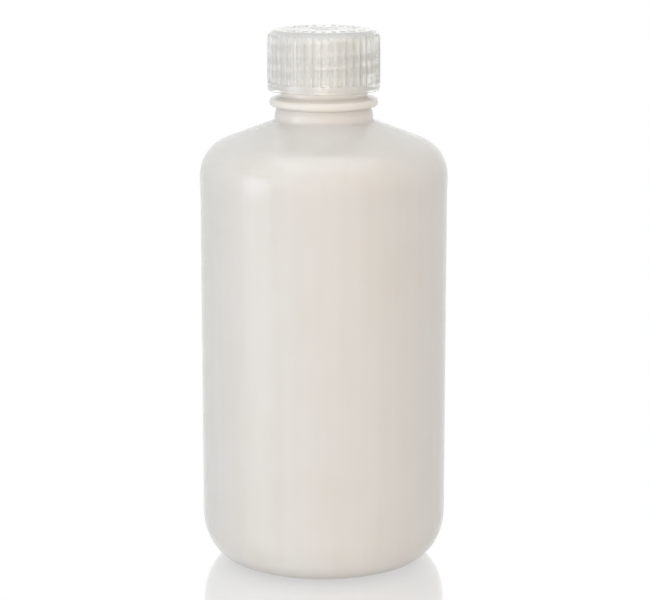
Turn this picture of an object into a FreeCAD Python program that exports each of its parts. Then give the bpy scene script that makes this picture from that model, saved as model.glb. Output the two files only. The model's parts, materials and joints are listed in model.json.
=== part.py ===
import FreeCAD, Part
import math
import os

# Narrow-mouth reagent bottle: a blow-moulded bottle with a ribbed screw closure.
# Millimetres, +Z up, origin at the centre of the ring that the bottle stands on.

Vector = FreeCAD.Vector
UP = Vector(0, 0, 1)

# ---- Bottle body ---------------------------------------------------------
body_radius = 30.75
wall = 1.1
foot_inner_radius = 18.0
foot_outer_radius = 22.3
heel_height = 12.0
push_up = 2.4
base_thickness = 1.5
pinch_off_length = 30.0
pinch_off_width = 0.8
pinch_off_height = 0.5

# The shoulder starts with a bead that stands a little proud of the label panel.
bead_radius = 30.85
panel_top = 92.5
bead_bottom = 95.5
shoulder_rounding = 9.5
shoulder_slope = math.radians(20.8)

# ---- Neck: 24 mm finish, 8 threads to the inch -----------------------------
rim_height = 132.4
shoulder_top = 111.5
neck_foot_radius = 12.25
neck_waist_radius = 11.65
ring_radius = 13.5
ring_bottom = 114.9
ring_top = 117.6
neck_root_radius = 10.9
neck_thread_radius = 11.85
throat_radius = 8.7
mouth_radius = 9.0
mouth_depth = 3.5
thread_pitch = 25.4 / 8

# ---- Threads: trapezoid ridges, in mesh with the closure fully down ----------
thread_start = 121.55
thread_turns = 2.85
neck_ridge_root = 2.0
neck_ridge_crest = 0.9
cap_thread_inner_radius = 11.2
cap_ridge_root = 1.9
cap_ridge_crest = 0.8
ridge_bury = 0.5
ridge_ramp = 70

# ---- Closure ---------------------------------------------------------------
cap_bottom = 119.1
cap_top = 134.0
cap_band_radius = 13.98
cap_top_radius = 13.9
cap_band_height = 1.9
cap_edge_rounding = 2.3
cap_inner_radius = 12.2
cap_lead_in_radius = 12.7
recess_radius = 3.55
recess_depth = 0.5
rib_count = 42
groove_depth = 0.45
groove_radius = 1.0
pip_count = 24
pip_ring_radius = 9.3
pip_length = 2.0
pip_width = 0.8
pip_height = 0.15

# ---- Sealing ring: plugs the mouth ------------------------------------------
seal_outer_radius = 8.85
seal_tip_radius = 8.7
seal_inner_radius = 7.6
seal_depth = 2.5


def line(start, end):
    return Part.LineSegment(start, end).toShape()


def rounded_edges(corners):
    """Edges through (radius, height, rounding) corners in the XZ plane."""
    points = [Vector(r, 0, z) for r, z, rounding in corners]
    edges = []
    start = points[0]
    for i in range(1, len(points) - 1):
        arrive = (points[i] - points[i - 1]).normalize()
        leave = (points[i + 1] - points[i]).normalize()
        rounding = corners[i][2]
        half_turn = arrive.getAngle(leave) / 2
        first = points[i] - arrive * (rounding * math.tan(half_turn))
        last = points[i] + leave * (rounding * math.tan(half_turn))
        inward = (leave - arrive).normalize()
        middle = points[i] + inward * (rounding / math.cos(half_turn) - rounding)
        edges.append(line(start, first))
        if rounding > 0:
            edges.append(Part.Arc(first, middle, last).toShape())
        start = last
    edges.append(line(start, points[-1]))
    return edges


def quarter_ellipse(foot, side):
    """A curve that leaves foot level and reaches side upright, as one cubic."""
    kappa = 0.5523
    curve = Part.BezierCurve()
    curve.setPoles([
        foot,
        Vector(foot.x + kappa * (side.x - foot.x), 0, foot.z),
        Vector(side.x, 0, side.z - kappa * (side.z - foot.z)),
        side,
    ])
    return curve.toShape()


def dome(rim_radius, rim_z, crown_z):
    """A shallow arc from the axis out to a rim."""
    rise = crown_z - rim_z
    radius = (rim_radius ** 2 + rise ** 2) / (2 * rise)
    half = math.asin(rim_radius / radius) / 2
    middle = Vector(radius * math.sin(half), 0, crown_z - radius * (1 - math.cos(half)))
    return Part.Arc(Vector(0, 0, crown_z), middle, Vector(rim_radius, 0, rim_z)).toShape()


def revolved(edges):
    face = Part.Face(Part.Wire(edges))
    return face.revolve(Vector(0, 0, 0), UP, 360)


def shoulder_line(radius, inset=0.0):
    """Height of the sloping shoulder at a radius, moved down by a wall's thickness."""
    return (shoulder_top + (neck_foot_radius - radius) * math.tan(shoulder_slope)
            - inset / math.cos(shoulder_slope))


def bottle_shell():
    inner_radius = body_radius - wall
    inner_bead = bead_radius - wall
    mouth_floor = rim_height - mouth_depth
    outside = rounded_edges([
        (body_radius, heel_height, 0),
        (body_radius, panel_top, 60),
        (bead_radius, bead_bottom, 60),
        (bead_radius, shoulder_line(bead_radius), shoulder_rounding),
        (neck_foot_radius, shoulder_top, 0.9),
        (neck_foot_radius, (shoulder_top + ring_bottom) / 2, 3),
        (neck_waist_radius, ring_bottom, 0.3),
        (ring_radius, ring_bottom + 0.2, 0.95),
        (ring_radius, ring_top - 0.7, 0.95),
        (neck_root_radius, ring_top, 0.4),
        (neck_root_radius, rim_height, 0.4),
        (mouth_radius, rim_height, 0.3),
        (mouth_radius, mouth_floor, 0.1),
        (throat_radius, mouth_floor - 0.3, 0.1),
        (throat_radius, shoulder_line(throat_radius, wall), 2),
        (inner_bead, shoulder_line(inner_bead, wall), shoulder_rounding - wall),
        (inner_bead, bead_bottom, 60),
        (inner_radius, panel_top, 60),
        (inner_radius, heel_height, 0),
    ])
    heel = quarter_ellipse(Vector(foot_outer_radius, 0, 0), Vector(body_radius, 0, heel_height))
    foot = line(Vector(foot_inner_radius, 0, 0), Vector(foot_outer_radius, 0, 0))
    inner_heel = quarter_ellipse(
        Vector(foot_outer_radius, 0, base_thickness), Vector(inner_radius, 0, heel_height))
    inner_foot = line(
        Vector(foot_inner_radius, 0, base_thickness), Vector(foot_outer_radius, 0, base_thickness))
    return revolved(
        [dome(foot_inner_radius, 0, push_up), foot, heel]
        + outside
        + [inner_heel, inner_foot, dome(foot_inner_radius, base_thickness, push_up + base_thickness)]
        + [line(Vector(0, 0, push_up), Vector(0, 0, push_up + base_thickness))])


def pinch_off():
    """The welded seam across the push-up, where the mould closed on the tube of plastic."""
    radius = (foot_inner_radius ** 2 + push_up ** 2) / (2 * push_up)
    centre = Vector(0, 0, push_up - radius)
    seam = Part.makeBox(
        pinch_off_length, pinch_off_width, 2 * push_up,
        Vector(-pinch_off_length / 2, -pinch_off_width / 2, 0))
    into_base = Part.makeSphere(radius + base_thickness / 2, centre)
    below_seam = Part.makeSphere(radius - pinch_off_height, centre)
    return seam.common(into_base).cut(below_seam)


def ridge(root_radius, crest_radius, root_width, crest_width):
    """A right-hand helical ridge from height 0 at +X, sunk into the wall behind its root."""
    into_wall = math.copysign(ridge_bury, root_radius - crest_radius)
    flank = (root_width - crest_width) / 2 / abs(crest_radius - root_radius)
    buried = root_radius + into_wall
    buried_half = root_width / 2 + flank * ridge_bury
    section = Part.makePolygon([
        Vector(buried, 0, -buried_half),
        Vector(crest_radius, 0, -crest_width / 2),
        Vector(crest_radius, 0, crest_width / 2),
        Vector(buried, 0, buried_half),
        Vector(buried, 0, -buried_half),
    ])
    spine = Part.Wire(Part.makeHelix(thread_pitch, thread_pitch * thread_turns, root_radius))
    swept = spine.makePipeShell([section], True, True)
    return ramped(swept, root_radius, crest_radius)


def ramped(swept, root_radius, crest_radius):
    """Each end of a ridge is cut back to a ramp, so that it rises gently from the wall."""
    lean = math.copysign(ridge_ramp, crest_radius - root_radius)
    size = 4 * thread_pitch
    height = 0.9 * thread_pitch
    for end, facing in ((0, 1), (thread_turns, -1)):
        block = Part.makeBox(size, size, height, Vector(-size / 2, -size, -height / 2))
        block.rotate(Vector(0, 0, 0), UP, lean)
        if facing < 0:
            block = block.mirror(Vector(0, 0, 0), Vector(0, 1, 0))
        block.translate(Vector(root_radius, 0, thread_pitch * end))
        block.rotate(Vector(0, 0, 0), UP, 360 * end)
        swept = swept.cut(block)
    return swept


def bottle():
    thread = ridge(neck_root_radius, neck_thread_radius, neck_ridge_root, neck_ridge_crest)
    # Half a turn round from the closure's ridge puts each ridge midway in the other's gap.
    thread.rotate(Vector(0, 0, 0), UP, 180)
    thread.translate(Vector(0, 0, thread_start))
    return bottle_shell().fuse(pinch_off()).fuse(thread)


def cap_shell():
    underside = rim_height
    return revolved(rounded_edges([
        (0, underside, 0),
        (cap_inner_radius, underside, 0.5),
        (cap_inner_radius, cap_bottom + 1.1, 0.3),
        (cap_lead_in_radius, cap_bottom + 0.6, 0.3),
        (cap_lead_in_radius, cap_bottom, 0.15),
        (cap_band_radius, cap_bottom, 0.3),
        (cap_band_radius, cap_bottom + cap_band_height, 0),
        (cap_top_radius, cap_top, cap_edge_rounding),
        (recess_radius, cap_top, 0.15),
        (recess_radius - 0.1, cap_top - recess_depth, 0.15),
        (0, cap_top - recess_depth, 0),
    ]) + [line(Vector(0, 0, cap_top - recess_depth), Vector(0, 0, underside))])


def grip_grooves():
    """Round-bottomed grooves that leave the upright grip ribs between them."""
    bottom = cap_bottom + cap_band_height
    centre = cap_top_radius - groove_depth + groove_radius
    grooves = []
    for i in range(rib_count):
        groove = Part.makeCylinder(groove_radius, cap_top - bottom + 1, Vector(centre, 0, bottom))
        groove.rotate(Vector(0, 0, 0), UP, 360 * (i + 0.5) / rib_count)
        grooves.append(groove)
    return Part.makeCompound(grooves)


def top_pips():
    """A ring of short raised bars on the top panel, for grip."""
    pips = []
    for i in range(pip_count):
        pip = Part.makeBox(
            pip_length, pip_width, pip_height + 0.3,
            Vector(pip_ring_radius - pip_length / 2, -pip_width / 2, cap_top - 0.3))
        pip.rotate(Vector(0, 0, 0), UP, 360 * i / pip_count)
        pips.append(pip)
    return Part.makeCompound(pips)


def screw_cap():
    thread = ridge(cap_inner_radius, cap_thread_inner_radius, cap_ridge_root, cap_ridge_crest)
    thread.translate(Vector(0, 0, thread_start))
    shell = cap_shell().cut(grip_grooves())
    return shell.fuse(top_pips()).fuse(thread)


def cap_seal_ring():
    tip = rim_height - seal_depth
    return revolved(rounded_edges([
        (seal_inner_radius, rim_height, 0),
        (seal_inner_radius, tip, 0.3),
        (seal_tip_radius, tip, 0.5),
        (seal_outer_radius, rim_height - 1.0, 0.5),
        (seal_outer_radius, rim_height, 0),
    ]) + [line(Vector(seal_outer_radius, 0, rim_height), Vector(seal_inner_radius, 0, rim_height))])


parts = {
    "bottle": bottle(),
    "screw_cap": screw_cap(),
    "cap_seal_ring": cap_seal_ring(),
}

os.makedirs("parts", exist_ok=True)
for name, shape in parts.items():
    solid = shape.removeSplitter().Solids[0]
    solid.exportStep("parts/" + name + ".step")
    print(name, "solids", len(shape.Solids), "valid", solid.isValid(), "mm3", round(solid.Volume, 1))
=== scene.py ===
import json
import math

import bmesh
import bpy
from bpy.props import FloatProperty, FloatVectorProperty, IntProperty, PointerProperty
from mathutils import Matrix, Vector


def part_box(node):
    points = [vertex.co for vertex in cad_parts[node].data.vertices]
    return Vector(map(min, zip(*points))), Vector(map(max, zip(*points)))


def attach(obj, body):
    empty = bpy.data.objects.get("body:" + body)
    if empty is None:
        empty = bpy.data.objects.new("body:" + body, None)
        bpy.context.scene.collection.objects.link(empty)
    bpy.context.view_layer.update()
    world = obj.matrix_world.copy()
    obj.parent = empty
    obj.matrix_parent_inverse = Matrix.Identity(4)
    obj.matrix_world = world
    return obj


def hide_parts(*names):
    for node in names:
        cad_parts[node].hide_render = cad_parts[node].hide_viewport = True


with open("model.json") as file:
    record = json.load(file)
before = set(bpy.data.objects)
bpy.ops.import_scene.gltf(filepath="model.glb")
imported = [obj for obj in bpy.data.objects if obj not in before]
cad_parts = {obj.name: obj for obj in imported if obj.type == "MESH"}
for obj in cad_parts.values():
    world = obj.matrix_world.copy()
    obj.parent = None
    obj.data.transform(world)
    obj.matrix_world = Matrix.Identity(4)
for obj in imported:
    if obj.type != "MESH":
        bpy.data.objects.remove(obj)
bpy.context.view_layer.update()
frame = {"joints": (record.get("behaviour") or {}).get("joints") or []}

bl_info = {
    "name": "Reagent bottle",
    "version": (1, 0, 0),
    "blender": (4, 5, 0),
    "location": "3D View > Sidebar > Reagent bottle",
    "description": "Builds a narrow-mouth blow-moulded reagent bottle with a ribbed screw closure",
    "category": "Object",
}

MM = 0.001
SAME_PLACE = 0.001 * MM
BOTTLE_STEPS = 160
SEAL_STEPS = 120
STEPS_PER_RIB = 10
THREAD_STEPS_PER_TURN = 96
THREAD_FADE_STEPS = THREAD_STEPS_PER_TURN / 9
FINE_CORNER_STEPS = 10
SHARP_EDGE_ANGLE = math.radians(35)

bottle_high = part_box("bottle")[1]
cap_low, cap_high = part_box("screw_cap")
seal_low, seal_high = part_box("cap_seal_ring")
cap_lift = next(j for j in frame["joints"] if j["name"] == "cap_rise")
cap_turn = next(j for j in frame["joints"] if j["name"] == "cap_turn")
turns_off = math.radians(cap_turn["range_deg"][1]) / math.tau


def length(name, description, default):
    return FloatProperty(
        name=name, description=description, default=default, unit="LENGTH", subtype="DISTANCE",
        precision=5)


def colour(name, description, default):
    return FloatVectorProperty(
        name=name, description=description, default=srgb(default), size=4, subtype="COLOR",
        min=0, max=1)


def srgb(code):
    """A linear colour with alpha from an sRGB hex code."""
    channels = [int(code[i:i + 2], 16) / 255 for i in (0, 2, 4)]
    linear = [c / 12.92 if c <= 0.04045 else ((c + 0.055) / 1.055) ** 2.4 for c in channels]
    return (*linear, 1.0)


class BottleSizes(bpy.types.PropertyGroup):
    """The blow-moulded bottle."""
    body_radius: length("Body radius", "Outside of the label panel", 30.75 * MM)
    bead_radius: length("Bead radius", "Bead where the shoulder starts", bottle_high.x)
    wall: length("Wall", "Thickness of the body's wall", 1.1 * MM)
    foot_inner: length("Foot inner radius", "Where the push-up starts", 18 * MM)
    foot_outer: length("Foot outer radius", "Where the heel leaves the bench", 22.3 * MM)
    heel_height: length("Heel height", "Height of the rounded heel", 12 * MM)
    push_up: length("Push-up", "Height of the dome in the base", 2.4 * MM)
    base_thickness: length("Base thickness", "Thickness of the base", 1.5 * MM)
    panel_top: length("Panel top", "Height where the label panel ends", 92.5 * MM)
    bead_bottom: length("Bead bottom", "Height where the bead is full", 95.5 * MM)
    shoulder_rounding: length("Shoulder rounding", "Radius of the shoulder's edge", 9.5 * MM)
    shoulder_top: length("Shoulder top", "Height of the neck's foot", 111.5 * MM)
    neck_foot: length("Neck foot radius", "Neck where it meets the shoulder", 12.25 * MM)
    neck_waist: length("Neck waist radius", "Neck just under the ring", 11.65 * MM)
    ring_radius: length("Ring radius", "Handling ring round the neck", 13.5 * MM)
    ring_bottom: length("Ring bottom", "Underside of the ring", 114.9 * MM)
    ring_top: length("Ring top", "Where the ring's slope meets the neck", 117.6 * MM)
    neck_root: length("Neck root radius", "Neck between the threads", 10.9 * MM)
    neck_thread: length("Thread radius", "Crest of the neck's thread", 11.85 * MM)
    mouth_radius: length("Mouth radius", "Reamed mouth", 9 * MM)
    mouth_depth: length("Mouth depth", "Depth of the reamed mouth", 3.5 * MM)
    throat_radius: length("Throat radius", "Bore of the neck", 8.7 * MM)
    rim: length("Rim height", "Top of the mouth", bottle_high.z)
    shoulder_slope: FloatProperty(
        name="Shoulder slope", description="Slope of the shoulder from level",
        default=math.radians(20.8), unit="ROTATION", subtype="ANGLE")
    plastic: colour("Plastic", "Natural milky HDPE", "DAD8D3")
    haze: colour("Haze", "Where the wall is thinner or drawn out", "D7D4CD")


class ClosureSizes(bpy.types.PropertyGroup):
    """The injection-moulded closure, its thread and its sealing ring."""
    bottom: length("Bottom", "Lower edge of the skirt", cap_low.z)
    top: length("Top", "Top panel", cap_high.z - 0.15 * MM)
    band_radius: length("Band radius", "Smooth band at the foot of the skirt", 13.98 * MM)
    top_radius: length("Top radius", "Rib tips just under the top", 13.9 * MM)
    band_height: length("Band height", "Height of the smooth band", 1.9 * MM)
    edge_rounding: length("Edge rounding", "Radius round the top's edge", 2.3 * MM)
    inner_radius: length("Inner radius", "Inside of the skirt", 12.2 * MM)
    lead_in: length("Lead-in radius", "Wider start of the skirt's bore", 12.7 * MM)
    thread_inner: length("Thread inner radius", "Crest of the closure's thread", 11.2 * MM)
    recess_radius: length("Recess radius", "Round recess in the top", 3.55 * MM)
    recess_depth: length("Recess depth", "Depth of that recess", 0.5 * MM)
    ribs: IntProperty(name="Ribs", description="Upright grip ribs", default=42, min=12)
    groove_depth: length("Groove depth", "Depth between the ribs", 0.45 * MM)
    groove_radius: length("Groove radius", "Rounding of each groove", 1 * MM)
    pips: IntProperty(name="Pips", description="Raised bars on the top", default=24, min=3)
    pip_ring: length("Pip ring radius", "Radius of the ring of bars", 9.3 * MM)
    seal_outer: length("Seal radius", "Outside of the sealing ring", seal_high.x)
    seal_inner: length("Seal inner radius", "Inside of the sealing ring", 7.6 * MM)
    plastic: colour("Plastic", "Natural hazy PP", "DFE1DF")
    haze: colour("Haze", "Where the melt cooled slowly", "DADAD6")


class ThreadSizes(bpy.types.PropertyGroup):
    """The helix that both threads share."""
    pitch: length("Pitch", "Rise in one turn", cap_lift["range_m"][1] / turns_off)
    start: length("Start", "Height of the lower end", 121.55 * MM)
    turns: FloatProperty(name="Turns", description="Length of the thread", default=2.85, min=0.5)
    neck_root: length("Neck ridge root", "Width at the neck", 2 * MM)
    neck_crest: length("Neck ridge crest", "Width at the crest", 0.9 * MM)
    cap_root: length("Closure ridge root", "Width at the skirt", 1.9 * MM)
    cap_crest: length("Closure ridge crest", "Width at the crest", 0.8 * MM)


class StageSettings(bpy.types.PropertyGroup):
    """Camera, floor and studio light."""
    camera_distance: length("Camera distance", "From the bottle's axis", 0.5827)
    camera_height: length("Camera height", "Over the floor", 0.1851)
    camera_side: length("Camera side", "Right of the bottle's axis", 0.0003)
    camera_tilt: FloatProperty(
        name="Camera tilt", description="Downwards from level", default=0.2018,
        unit="ROTATION", subtype="ANGLE")
    lens: FloatProperty(name="Lens", description="In mm on a 36 mm sensor", default=130.8)
    floor_size: length("Floor", "Side of the floor", 3.0)
    fill: colour("Fill", "Light on the bottle from all round", "B5B5B3")
    floor_glow: colour("Floor glow", "Light on the bottle from the floor", "9C9A96")


# ---- Outlines and shells ---------------------------------------------------

def line_to(bm, tip, place):
    new = bmesh.ops.extrude_vert_indiv(bm, verts=[tip])["verts"][0]
    new.co = place
    return new


def arc_to(bm, tip, centre, turn, steps):
    """Swings the outline's last point round a centre in the XZ plane."""
    swung = bmesh.ops.spin(
        bm, geom=[tip], cent=centre, axis=(0, -1, 0), angle=turn, steps=steps)
    return next(g for g in swung["geom_last"] if isinstance(g, bmesh.types.BMVert))


def outline(bm, tip, corners, detail=6):
    """Carries an outline on through (radius, height, rounding) corners of the XZ plane."""
    points = [tip.co.copy()] + [Vector((r, 0, z)) for r, z, rounding in corners]
    for i in range(1, len(points) - 1):
        rounding = corners[i - 1][2]
        arrive = (points[i] - points[i - 1]).normalized()
        leave = (points[i + 1] - points[i]).normalized()
        turn = arrive.angle(leave)
        first = points[i] - arrive * rounding * math.tan(turn / 2)
        tip = line_to(bm, tip, first)
        if rounding > 0:
            left = arrive.cross(leave).y < 0
            side = Vector((-arrive.z, 0, arrive.x)) * (1 if left else -1)
            steps = max(2, round(detail * turn / (math.pi / 2)))
            tip = arc_to(bm, tip, first + side * rounding, turn if left else -turn, steps)
    return line_to(bm, tip, points[-1])


def spun(bm, steps):
    """Spins everything once round the axis and closes the seam and the poles."""
    bmesh.ops.spin(
        bm, geom=bm.verts[:] + bm.edges[:], cent=(0, 0, 0), axis=(0, 0, 1),
        angle=math.tau, steps=steps, use_merge=True)
    bmesh.ops.remove_doubles(bm, verts=bm.verts[:], dist=SAME_PLACE)
    bmesh.ops.recalc_face_normals(bm, faces=bm.faces[:])


def piece(name, bm, body, material, node=None):
    """Turns a bmesh into a piece that rides on a body and wears a material."""
    for face in bm.faces:
        face.smooth = True
    mesh = bpy.data.meshes.new(name)
    bm.to_mesh(mesh)
    bm.free()
    mesh.set_sharp_from_angle(angle=SHARP_EDGE_ANGLE)
    made = bpy.data.objects.new(name, mesh)
    bpy.context.scene.collection.objects.link(made)
    mesh.materials.append(material)
    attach(made, body)
    if node:
        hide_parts(node)
    return made


def helix(bm, root, crest, root_width, crest_width, sizes, phase):
    """A helical ridge whose two ends sink into the wall that it stands on."""
    overlap = 0.25 * MM
    crest_rounding = 0.2 * MM
    steps = round(THREAD_STEPS_PER_TURN * sizes.turns)
    sunk = root + math.copysign(overlap, root - crest)
    section = [
        Vector((sunk, 0, -root_width / 2)), Vector((crest, 0, -crest_width / 2)),
        Vector((crest, 0, crest_width / 2)), Vector((sunk, 0, root_width / 2))]
    verts = [bm.verts.new(p + Vector((0, 0, sizes.start))) for p in section]
    bm.faces.new(verts)
    bmesh.ops.bevel(
        bm, geom=verts[1:3], offset=crest_rounding, offset_type="OFFSET", segments=3,
        profile=0.5, affect="VERTICES", material=-1)
    ring = len(bm.verts)
    bmesh.ops.rotate(
        bm, verts=bm.verts[:], cent=(0, 0, 0), matrix=Matrix.Rotation(phase, 3, "Z"))
    bmesh.ops.spin(
        bm, geom=bm.faces[:] + bm.edges[:] + bm.verts[:], cent=(0, 0, 0), axis=(0, 0, 1),
        angle=math.tau * steps / THREAD_STEPS_PER_TURN, steps=steps,
        dvec=(0, 0, sizes.pitch / THREAD_STEPS_PER_TURN))
    bm.verts.ensure_lookup_table()
    for i, vert in enumerate(bm.verts):
        along = min(i // ring, steps - i // ring) / THREAD_FADE_STEPS
        if along < 1:
            height = along * along * (3 - 2 * along)
            reach = vert.co.xy.length
            if (reach - root) * (crest - root) > 0:
                vert.co.xy *= (sunk + (reach - sunk) * height) / reach
    bmesh.ops.recalc_face_normals(bm, faces=bm.faces[:])
    if bm.calc_volume(signed=True) < 0:
        bmesh.ops.reverse_faces(bm, faces=bm.faces[:])


def shoulder_height(sizes, radius, inset=0.0):
    slope = sizes.shoulder_slope
    return (sizes.shoulder_top + (sizes.neck_foot - radius) * math.tan(slope)
            - inset / math.cos(slope))


def ellipse_to(bm, tip, centre, width, height, turn):
    """A quarter of an ellipse: a quarter circle drawn out in height from its first point."""
    start = len(bm.verts)
    fixed = Matrix.Translation((0, 0, -tip.co.z))
    tip = arc_to(bm, tip, centre, turn, 14)
    bm.verts.ensure_lookup_table()
    bmesh.ops.scale(bm, vec=(1, 1, height / width), verts=bm.verts[start:], space=fixed)
    return tip


def dome_to(bm, tip, rise, rim_radius, outwards, steps=10):
    """A shallow dome between the axis and the foot ring."""
    radius = (rim_radius ** 2 + rise ** 2) / (2 * rise)
    half = math.asin(rim_radius / radius)
    if outwards:
        centre = tip.co - Vector((0, 0, radius))
        return arc_to(bm, tip, centre, -half, steps)
    centre = Vector((0, 0, tip.co.z + rise - radius))
    return arc_to(bm, tip, centre, half, steps)


class BOTTLE_OT_shell(bpy.types.Operator):
    """Blow-moulded shell: base dome, heel, panel, shoulder, neck with its ring, and the inside"""
    bl_idname = "bottle.shell"
    bl_label = "Bottle shell"

    def execute(self, context):
        s = context.scene.bottle_sizes
        bm = bmesh.new()
        tip = bm.verts.new((0, 0, s.push_up))
        tip = dome_to(bm, tip, s.push_up, s.foot_inner, outwards=True)
        tip = line_to(bm, tip, Vector((s.foot_outer, 0, 0)))
        width = s.body_radius - s.foot_outer
        tip = ellipse_to(
            bm, tip, (s.foot_outer, 0, width), width, s.heel_height, math.pi / 2)
        inner = s.body_radius - s.wall
        inner_bead = s.bead_radius - s.wall
        mouth_floor = s.rim - s.mouth_depth
        faint_bend = 60 * MM
        ring_edge = 0.95 * MM
        lip = 0.4 * MM
        crisp = 0.3 * MM
        reamed = 0.1 * MM
        tip = outline(bm, tip, [
            (s.body_radius, s.panel_top, faint_bend),
            (s.bead_radius, s.bead_bottom, faint_bend),
            (s.bead_radius, shoulder_height(s, s.bead_radius), s.shoulder_rounding),
            (s.neck_foot, s.shoulder_top, 0.9 * MM),
            (s.neck_foot, (s.shoulder_top + s.ring_bottom) / 2, 3 * MM),
            (s.neck_waist, s.ring_bottom, crisp),
            (s.ring_radius, s.ring_bottom + 0.2 * MM, ring_edge),
            (s.ring_radius, s.ring_top - 0.7 * MM, ring_edge),
            (s.neck_root, s.ring_top, lip),
            (s.neck_root, s.rim, lip),
            (s.mouth_radius, s.rim, crisp),
            (s.mouth_radius, mouth_floor, reamed),
            (s.throat_radius, mouth_floor - 0.3 * MM, reamed),
            (s.throat_radius, shoulder_height(s, s.throat_radius, s.wall), 2 * MM),
            (inner_bead, shoulder_height(s, inner_bead, s.wall), s.shoulder_rounding - s.wall),
            (inner_bead, s.bead_bottom, faint_bend),
            (inner, s.panel_top, faint_bend),
            (inner, s.heel_height, 0),
        ], detail=FINE_CORNER_STEPS)
        inner_width = inner - s.foot_outer
        tip = ellipse_to(
            bm, tip, (s.foot_outer, 0, s.heel_height), inner_width,
            s.heel_height - s.base_thickness, -math.pi / 2)
        tip = line_to(bm, tip, Vector((s.foot_inner, 0, s.base_thickness)))
        dome_to(bm, tip, s.push_up, s.foot_inner, outwards=False)
        spun(bm, BOTTLE_STEPS)
        piece("bottle_shell", bm, "bottle", natural_hdpe(s), node="bottle")
        return {"FINISHED"}


class BOTTLE_OT_neck_thread(bpy.types.Operator):
    """Right-hand thread round the neck, fading into it at both ends"""
    bl_idname = "bottle.neck_thread"
    bl_label = "Neck thread"

    def execute(self, context):
        s = context.scene.bottle_sizes
        t = context.scene.thread_sizes
        bm = bmesh.new()
        helix(bm, s.neck_root, s.neck_thread, t.neck_root, t.neck_crest, t, math.pi)
        piece("neck_thread", bm, "bottle", natural_hdpe(s))
        return {"FINISHED"}


class BOTTLE_OT_base_seam(bpy.types.Operator):
    """Pinch-off seam across the base dome, left where the mould closed on the tube"""
    bl_idname = "bottle.base_seam"
    bl_label = "Base seam"

    def execute(self, context):
        s = context.scene.bottle_sizes
        half = 15 * MM
        width = 0.9 * MM
        crest_share = 0.55
        root_depth = 0.3 * MM
        height = 0.5 * MM
        radius = (s.foot_inner ** 2 + s.push_up ** 2) / (2 * s.push_up)
        centre = Vector((0, 0, s.push_up - radius))
        bm = bmesh.new()
        bmesh.ops.create_grid(bm, x_segments=24, y_segments=1, size=0.5)
        bmesh.ops.scale(bm, vec=(2 * half, width, 1), verts=bm.verts[:])
        wall = bmesh.ops.extrude_face_region(bm, geom=bm.faces[:])
        crest = [g for g in wall["geom"] if isinstance(g, bmesh.types.BMVert)]
        for vert in bm.verts:
            reach = radius + root_depth
            if vert in crest:
                reach = radius - height * (1 - (vert.co.x / half) ** 6)
                vert.co.y *= crest_share
            vert.co.z = centre.z + math.sqrt(reach ** 2 - vert.co.x ** 2)
        bmesh.ops.recalc_face_normals(bm, faces=bm.faces[:])
        piece("base_seam", bm, "bottle", natural_hdpe(s))
        return {"FINISHED"}


class BOTTLE_OT_cap(bpy.types.Operator):
    """Closure shell: skirt with its grip ribs, smooth foot band, top panel with a round recess"""
    bl_idname = "bottle.cap"
    bl_label = "Screw closure"

    def execute(self, context):
        s = context.scene.bottle_sizes
        c = context.scene.closure_sizes
        bm = bmesh.new()
        band_top = c.bottom + c.band_height
        # A hair over the rim, so that the two flat faces don't fight.
        underside = s.rim + 0.02 * MM
        crisp = 0.3 * MM
        fine = 0.15 * MM
        tip = bm.verts.new((0, 0, underside))
        outline(bm, tip, [
            (c.inner_radius, underside, 0.5 * MM),
            (c.inner_radius, c.bottom + 1.1 * MM, crisp),
            (c.lead_in, c.bottom + 0.6 * MM, crisp),
            (c.lead_in, c.bottom, fine),
            (c.band_radius, c.bottom, crisp),
            (c.band_radius, band_top, 0),
            (c.band_radius - 0.002 * MM, band_top + 0.12 * MM, 0),
            (c.top_radius, c.top, c.edge_rounding),
            (c.recess_radius, c.top, fine),
            (c.recess_radius - 0.1 * MM, c.top - c.recess_depth, fine),
            (0, c.top - c.recess_depth, 0),
        ], detail=FINE_CORNER_STEPS)
        spun(bm, c.ribs * STEPS_PER_RIB)
        # Everything over the band is pressed in to the round grooves between the ribs.
        groove_centre = c.top_radius - c.groove_depth + c.groove_radius
        for vert in bm.verts:
            if vert.co.z > band_top + 0.01 * MM:
                angle = math.atan2(vert.co.y, vert.co.x)
                rib = math.tau / c.ribs
                off = (angle / rib - math.floor(angle / rib) - 0.5) * rib
                across = groove_centre * math.sin(off)
                if abs(across) < c.groove_radius:
                    limit = (groove_centre * math.cos(off)
                             - math.sqrt(c.groove_radius ** 2 - across ** 2))
                    reach = vert.co.xy.length
                    if reach > limit:
                        vert.co.xy *= limit / reach
        piece("cap_shell", bm, "cap", natural_pp(c), node="screw_cap")
        return {"FINISHED"}


class BOTTLE_OT_cap_thread(bpy.types.Operator):
    """Right-hand thread inside the skirt, in the gaps of the neck's thread"""
    bl_idname = "bottle.cap_thread"
    bl_label = "Closure thread"

    def execute(self, context):
        c = context.scene.closure_sizes
        t = context.scene.thread_sizes
        bm = bmesh.new()
        helix(bm, c.inner_radius, c.thread_inner, t.cap_root, t.cap_crest, t, 0)
        piece("cap_thread", bm, "cap", natural_pp(c))
        return {"FINISHED"}


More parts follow.
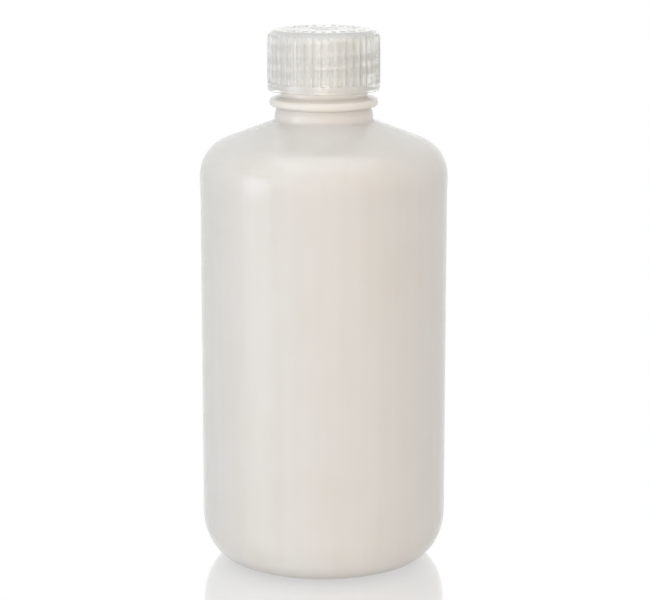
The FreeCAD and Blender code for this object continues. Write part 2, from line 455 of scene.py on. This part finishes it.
class BOTTLE_OT_cap_pips(bpy.types.Operator):
    """Ring of short raised bars on the top panel"""
    bl_idname = "bottle.cap_pips"
    bl_label = "Top bars"

    def execute(self, context):
        c = context.scene.closure_sizes
        bar = Vector((2, 0.8, 0.45)) * MM
        rounding = 0.12 * MM
        bm = bmesh.new()
        for i in range(c.pips):
            made = bmesh.ops.create_cube(bm, size=1)
            bmesh.ops.scale(bm, vec=bar, verts=made["verts"])
            edges = {e for v in made["verts"] for e in v.link_edges}
            rounded = bmesh.ops.bevel(
                bm, geom=list(edges), offset=rounding, offset_type="OFFSET", segments=2,
                profile=0.5, affect="EDGES", material=-1)
            verts = list({v for f in rounded["faces"] for v in f.verts})
            bmesh.ops.translate(
                bm, verts=verts, vec=(c.pip_ring, 0, cap_high.z - bar.z / 2))
            bmesh.ops.rotate(
                bm, verts=verts, cent=(0, 0, 0),
                matrix=Matrix.Rotation(math.tau * i / c.pips, 3, "Z"))
        piece("cap_bars", bm, "cap", natural_pp(c))
        return {"FINISHED"}


class BOTTLE_OT_seal(bpy.types.Operator):
    """Sealing ring that plugs the mouth"""
    bl_idname = "bottle.seal"
    bl_label = "Sealing ring"

    def execute(self, context):
        c = context.scene.closure_sizes
        top = seal_high.z - 0.02 * MM
        lead_in = 0.15 * MM
        plug_height = 1 * MM
        rounding = 0.5 * MM
        bm = bmesh.new()
        tip = bm.verts.new((c.seal_inner, 0, top))
        outline(bm, tip, [
            (c.seal_inner, seal_low.z, 0.3 * MM),
            (c.seal_outer - lead_in, seal_low.z, rounding),
            (c.seal_outer, top - plug_height, rounding),
            (c.seal_outer, top, 0),
            (c.seal_inner, top, 0),
        ])
        bmesh.ops.remove_doubles(bm, verts=bm.verts[:], dist=SAME_PLACE)
        spun(bm, SEAL_STEPS)
        piece("seal_ring", bm, "seal", natural_pp(c), node="cap_seal_ring")
        return {"FINISHED"}


# ---- Materials ----------------------------------------------------------------

def node(tree, kind, inputs=(), **settings):
    """Adds a shader node, applies its settings and fills or links its inputs."""
    made = tree.nodes.new(kind)
    for key, value in settings.items():
        setattr(made, key, value)
    for key, value in dict(inputs).items():
        if isinstance(value, bpy.types.NodeSocket):
            tree.links.new(value, made.inputs[key])
        else:
            made.inputs[key].default_value = value
    return made


def fresh_material(name):
    """A new material with an empty node tree, or None for the tree if the material exists."""
    made = bpy.data.materials.get(name)
    if made:
        return made, None
    made = bpy.data.materials.new(name)
    made.use_nodes = True
    made.node_tree.nodes.clear()
    return made, made.node_tree


def natural_hdpe(sizes):
    """Blow-moulded natural HDPE: milky, because light scatters in its wall, and semi-gloss."""
    made, tree = fresh_material("blow-moulded natural HDPE")
    if tree is None:
        return made
    place = node(tree, "ShaderNodeTexCoord").outputs["Object"]
    # Die lines: the tube is drawn downwards, so its faint streaks run up the wall.
    drawn = node(tree, "ShaderNodeMapping", {"Vector": place, "Scale": (260, 260, 12)})
    streaks = node(tree, "ShaderNodeTexNoise", {
        "Vector": drawn.outputs["Vector"], "Scale": 1.0, "Detail": 3.0, "Roughness": 0.55})
    # Thick and thin patches, about 15 mm across, pass more or less light.
    patches = node(tree, "ShaderNodeTexNoise", {
        "Vector": place, "Scale": 65.0, "Detail": 2.0, "Roughness": 0.5})
    both = node(tree, "ShaderNodeMath", {
        0: streaks.outputs["Fac"], 1: patches.outputs["Fac"]}, operation="ADD")
    share = node(tree, "ShaderNodeMapRange", {
        "Value": both.outputs["Value"], "From Min": 0.7, "From Max": 1.3})
    tint = node(tree, "ShaderNodeMix", {
        0: share.outputs["Result"], 6: sizes.plastic, 7: sizes.haze}, data_type="RGBA")
    # The blasted mould leaves a faint grain of about 0.4 mm.
    grain = node(tree, "ShaderNodeTexNoise", {
        "Vector": place, "Scale": 2500.0, "Detail": 2.0, "Roughness": 0.6})
    bump = node(tree, "ShaderNodeBump", {
        "Height": grain.outputs["Fac"], "Strength": 0.05, "Distance": 0.01 * MM})
    rough = node(tree, "ShaderNodeMapRange", {
        "Value": grain.outputs["Fac"], "From Min": 0.3, "From Max": 0.7,
        "To Min": 0.13, "To Max": 0.19})
    skin = node(tree, "ShaderNodeBsdfPrincipled", {
        "Base Color": tint.outputs[2], "Roughness": rough.outputs["Result"],
        "IOR": 1.53, "Normal": bump.outputs["Normal"], "Subsurface Weight": 1.0,
        "Subsurface Radius": (1.0, 0.95, 0.88), "Subsurface Scale": 2.5 * MM})
    node(tree, "ShaderNodeOutputMaterial", {"Surface": skin.outputs["BSDF"]})
    return made


def natural_pp(sizes):
    """Injection-moulded natural PP: hazy inside, and glossy outside from a polished mould."""
    made, tree = fresh_material("injection-moulded natural PP")
    if tree is None:
        return made
    place = node(tree, "ShaderNodeTexCoord").outputs["Object"]
    # Flow marks of the melt, about 5 mm across, vary the haze and ripple the skin a little.
    flow = node(tree, "ShaderNodeTexNoise", {
        "Vector": place, "Scale": 180.0, "Detail": 3.0, "Roughness": 0.5})
    rough = node(tree, "ShaderNodeMapRange", {
        "Value": flow.outputs["Fac"], "From Min": 0.3, "From Max": 0.7,
        "To Min": 0.12, "To Max": 0.15})
    bump = node(tree, "ShaderNodeBump", {
        "Height": flow.outputs["Fac"], "Strength": 0.1, "Distance": 0.05 * MM})
    tint = node(tree, "ShaderNodeMix", {
        0: flow.outputs["Fac"], 6: sizes.plastic, 7: sizes.haze}, data_type="RGBA")
    skin = node(tree, "ShaderNodeBsdfPrincipled", {
        "Base Color": tint.outputs[2], "Roughness": rough.outputs["Result"], "IOR": 1.49,
        "Transmission Weight": 0.62, "Coat Weight": 0.6, "Coat Roughness": 0.1,
        "Coat IOR": 1.49, "Normal": bump.outputs["Normal"]})
    # Most of the light that falls on it goes on to what it covers.
    ray = node(tree, "ShaderNodeLightPath")
    clear = node(tree, "ShaderNodeBsdfTransparent", {"Color": srgb("FAF9F6")})
    both = node(tree, "ShaderNodeMixShader", {
        "Fac": ray.outputs["Is Shadow Ray"], 1: skin.outputs["BSDF"], 2: clear.outputs["BSDF"]})
    node(tree, "ShaderNodeOutputMaterial", {"Surface": both.outputs["Shader"]})
    return made


def lit_acrylic(settings):
    """Glossy white acrylic sheet lit from below: pure white, and it mirrors the bottle."""
    made, tree = fresh_material("lit white acrylic sheet")
    place = node(tree, "ShaderNodeTexCoord").outputs["Object"]
    cloud = node(tree, "ShaderNodeTexNoise", {"Vector": place, "Scale": 3.0, "Detail": 2.0})
    tint = node(tree, "ShaderNodeMix", {
        0: cloud.outputs["Fac"], 6: srgb("FFFFFF"), 7: srgb("FEFEFE")}, data_type="RGBA")
    ray = node(tree, "ShaderNodeLightPath")
    lamp = node(tree, "ShaderNodeMix", {
        0: ray.outputs["Is Diffuse Ray"], 6: tint.outputs[2], 7: settings.floor_glow},
        data_type="RGBA")
    glow = node(tree, "ShaderNodeEmission", {"Color": lamp.outputs[2], "Strength": 1.0})
    mirror = node(tree, "ShaderNodeBsdfGlossy", {"Color": srgb("FFFFFF"), "Roughness": 0.05})
    skin = node(tree, "ShaderNodeMixShader", {
        "Fac": 0.5, 1: glow.outputs["Emission"], 2: mirror.outputs["BSDF"]})
    node(tree, "ShaderNodeOutputMaterial", {"Surface": skin.outputs["Shader"]})
    return made


# ---- Stage -----------------------------------------------------------------

def softbox(name, azimuth, elevation, distance, size, power, tint, glossy=False):
    """An area light, placed in degrees round the bottle from the front, that faces its middle."""
    data = bpy.data.lights.new(name, "AREA")
    data.shape = "RECTANGLE"
    data.size, data.size_y = size
    data.energy = power
    data.color = srgb(tint)[:3]
    lamp = bpy.data.objects.new(name, data)
    bpy.context.scene.collection.objects.link(lamp)
    turn, rise = math.radians(azimuth), math.radians(elevation)
    away = Vector((
        math.sin(turn) * math.cos(rise), -math.cos(turn) * math.cos(rise), math.sin(rise)))
    middle = Vector((0, 0, 60 * MM))
    lamp.location = middle + distance * away
    lamp.rotation_euler = away.to_track_quat("Z", "Y").to_euler()
    lamp.visible_glossy = glossy


class BOTTLE_OT_stage(bpy.types.Operator):
    """White floor, soft studio light and the camera"""
    bl_idname = "bottle.stage"
    bl_label = "Stage"

    def execute(self, context):
        s = context.scene.stage_settings
        bm = bmesh.new()
        bmesh.ops.create_grid(bm, x_segments=1, y_segments=1, size=s.floor_size / 2)
        # A hair under the foot ring, so that the two flat faces don't fight.
        drop = 0.05 * MM
        bmesh.ops.translate(bm, verts=bm.verts[:], vec=(0, 0, -drop))
        mesh = bpy.data.meshes.new("floor")
        bm.to_mesh(mesh)
        bm.free()
        floor = bpy.data.objects.new("floor", mesh)
        context.scene.collection.objects.link(floor)
        mesh.materials.append(lit_acrylic(s))

        world = bpy.data.worlds.new("white studio")
        world.use_nodes = True
        tree = world.node_tree
        tree.nodes.clear()
        ray = node(tree, "ShaderNodeLightPath")
        lamp = node(tree, "ShaderNodeMix", {
            0: ray.outputs["Is Diffuse Ray"], 6: srgb("FFFFFF"), 7: s.fill}, data_type="RGBA")
        sky = node(tree, "ShaderNodeBackground", {"Color": lamp.outputs[2]})
        node(tree, "ShaderNodeOutputWorld", {"Surface": sky.outputs["Background"]})
        context.scene.world = world
        context.scene.view_settings.view_transform = "Standard"

        softbox("front softbox", -5, 4, 1.0, (0.5, 0.6), 6.7, "FFF9F4")
        softbox("tall softbox", -63, 6, 0.68, (0.34, 0.42), 1.0, "E2ECFF", glossy=True)
        softbox("top softbox", 3, 78, 1.0, (1.2, 0.9), 3.8, "F4F8FF", glossy=True)
        softbox("warm right fill", 28, 12, 1.0, (0.5, 0.6), 0.8, "FFB080")
        softbox("right back fill", 125, 12, 1.0, (0.5, 0.6), 1.4, "E6F8FF")
        softbox("back fill", 180, 15, 1.0, (0.6, 0.6), 4.0, "FFFFFF")

        data = bpy.data.cameras.new("camera")
        data.lens = s.lens
        data.sensor_width = 36
        camera = bpy.data.objects.new("camera", data)
        context.scene.collection.objects.link(camera)
        camera.location = (s.camera_side, -s.camera_distance, s.camera_height)
        camera.rotation_euler = (math.pi / 2 - s.camera_tilt, 0, 0)
        context.scene.camera = camera
        return {"FINISHED"}


class BOTTLE_PT_panel(bpy.types.Panel):
    """Buttons for each piece of the bottle"""
    bl_label = "Reagent bottle"
    bl_idname = "BOTTLE_PT_panel"
    bl_space_type = "VIEW_3D"
    bl_region_type = "UI"
    bl_category = "Reagent bottle"

    def draw(self, context):
        for operator in OPERATORS:
            self.layout.operator(operator.bl_idname)
        for group in GROUPS:
            settings = getattr(context.scene, group)
            box = self.layout.box()
            for prop in settings.bl_rna.properties:
                if not prop.is_readonly and prop.identifier != "name":
                    box.prop(settings, prop.identifier)


OPERATORS = (
    BOTTLE_OT_stage, BOTTLE_OT_shell, BOTTLE_OT_neck_thread, BOTTLE_OT_base_seam,
    BOTTLE_OT_cap, BOTTLE_OT_cap_thread, BOTTLE_OT_cap_pips, BOTTLE_OT_seal)
GROUPS = {
    "bottle_sizes": BottleSizes, "closure_sizes": ClosureSizes, "thread_sizes": ThreadSizes,
    "stage_settings": StageSettings}


def register():
    for kind in (*GROUPS.values(), *OPERATORS, BOTTLE_PT_panel):
        bpy.utils.register_class(kind)
    for name, group in GROUPS.items():
        setattr(bpy.types.Scene, name, PointerProperty(type=group))


def unregister():
    for name in GROUPS:
        delattr(bpy.types.Scene, name)
    for kind in reversed((*GROUPS.values(), *OPERATORS, BOTTLE_PT_panel)):
        bpy.utils.unregister_class(kind)


def main():
    register()
    bpy.ops.bottle.stage()
    bpy.ops.bottle.shell()
    bpy.ops.bottle.neck_thread()
    bpy.ops.bottle.base_seam()
    bpy.ops.bottle.cap()
    bpy.ops.bottle.cap_thread()
    bpy.ops.bottle.cap_pips()
    bpy.ops.bottle.seal()


if __name__ == "__main__":
    main()
